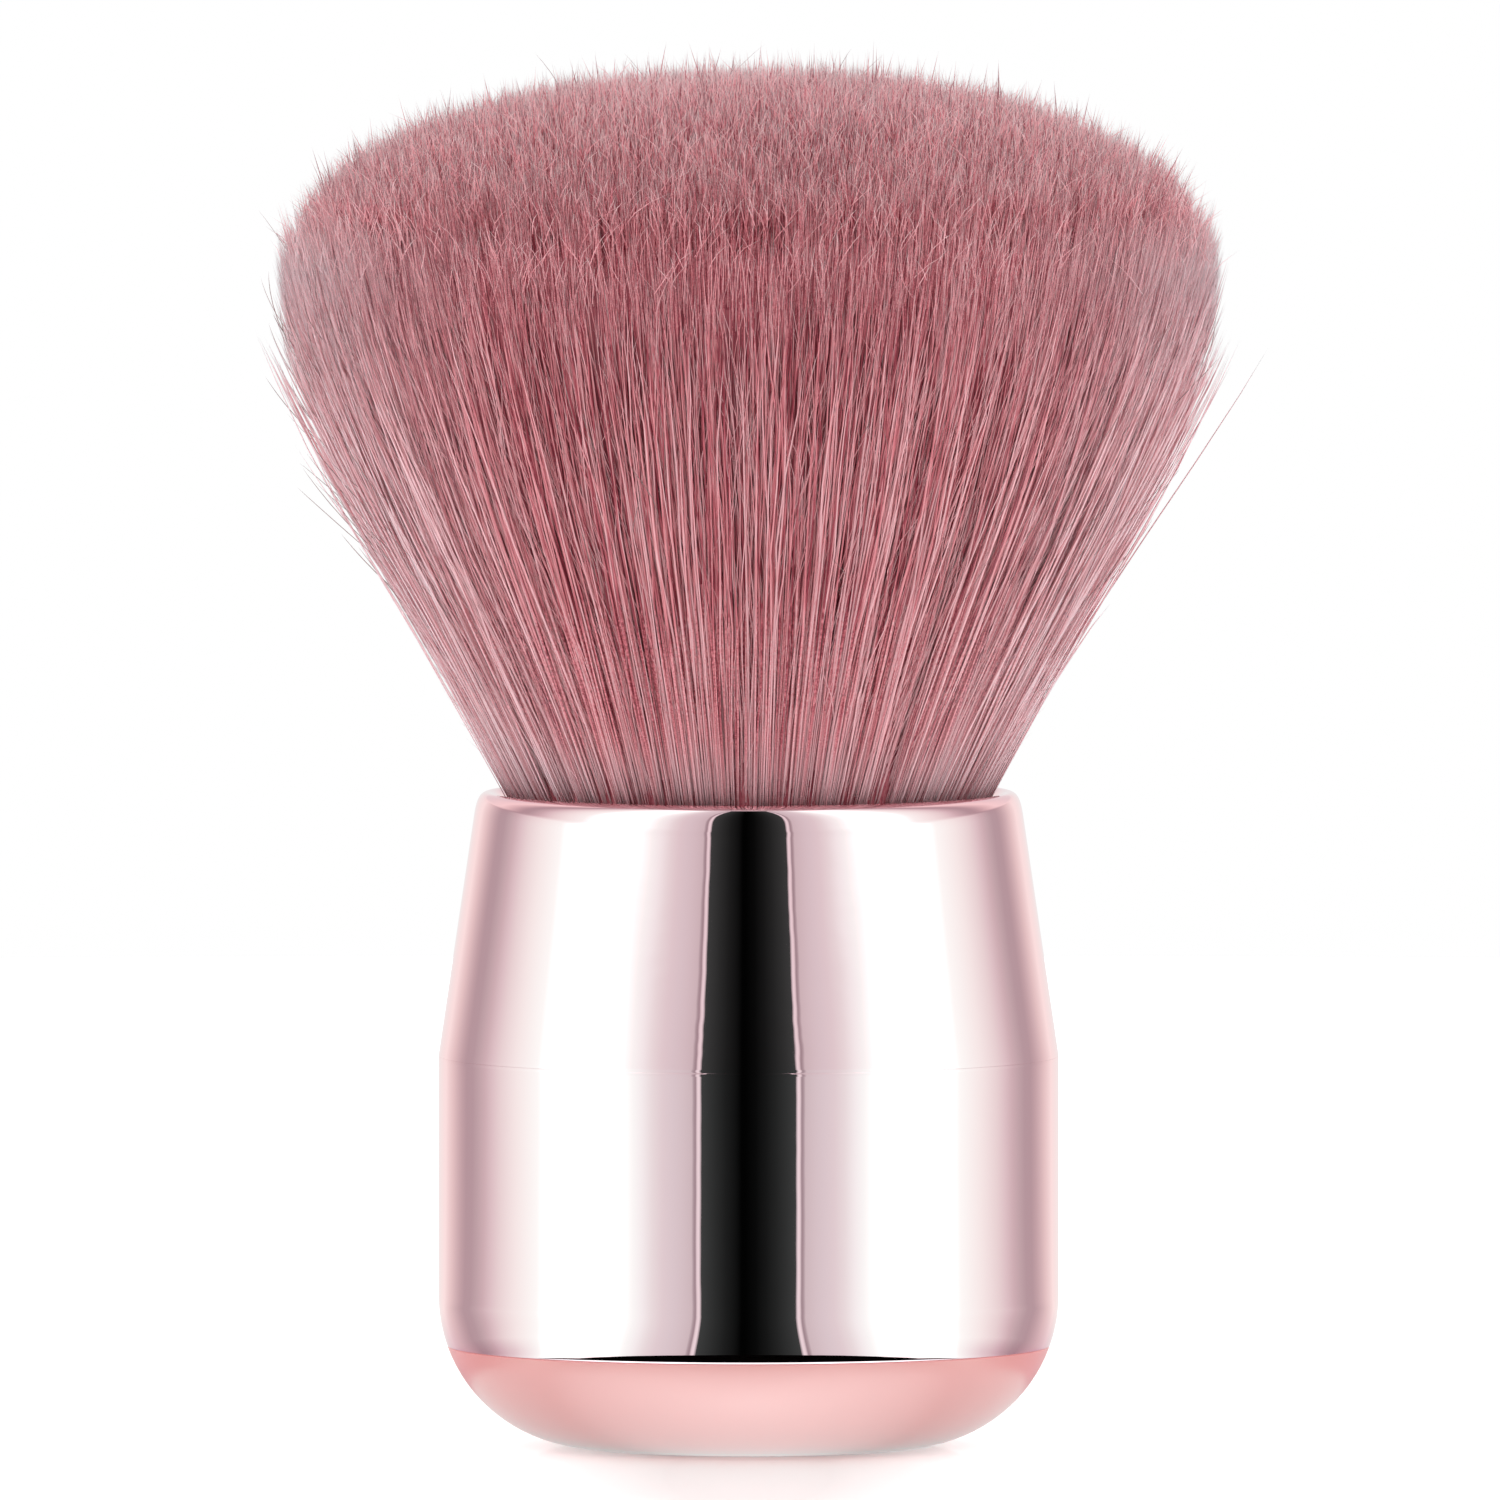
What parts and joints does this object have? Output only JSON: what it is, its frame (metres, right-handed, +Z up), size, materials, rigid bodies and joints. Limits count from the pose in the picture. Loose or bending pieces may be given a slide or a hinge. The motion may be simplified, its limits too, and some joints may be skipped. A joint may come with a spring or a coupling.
{
  "type": "powder brush",
  "caption": "Short kabuki powder brush with a domed, flared pink bristle head in a weighted rose-gold plated handle that stands on a flat foot.",
  "frame": {"origin": "centre of the flat foot that the brush stands on", "axes": "+Z up along the brush's axis, from the foot to the crown of the bristles; +X and +Y across the handle, which is round"},
  "size_m": [0.0545, 0.0545, 0.08],
  "materials": {
    "base_cap": "gloss",
    "weight": "satin",
    "weight_pad": "matte",
    "body_shell": "polished",
    "inner_core": "satin",
    "collar": "polished",
    "hair_cup": "satin",
    "glue_plug": "satin",
    "knot_thread": "matte",
    "bristles": "satin"
  },
  "bodies": {
    "root": {"base_cap": "base_cap", "weight": "weight", "weight_pad": "weight_pad", "body_shell": "body_shell", "inner_core": "inner_core", "collar": "collar", "hair_cup": "hair_cup", "glue_plug": "glue_plug", "knot_thread": "knot_thread", "bristles": "bristles"}
  },
  "joints": []
}
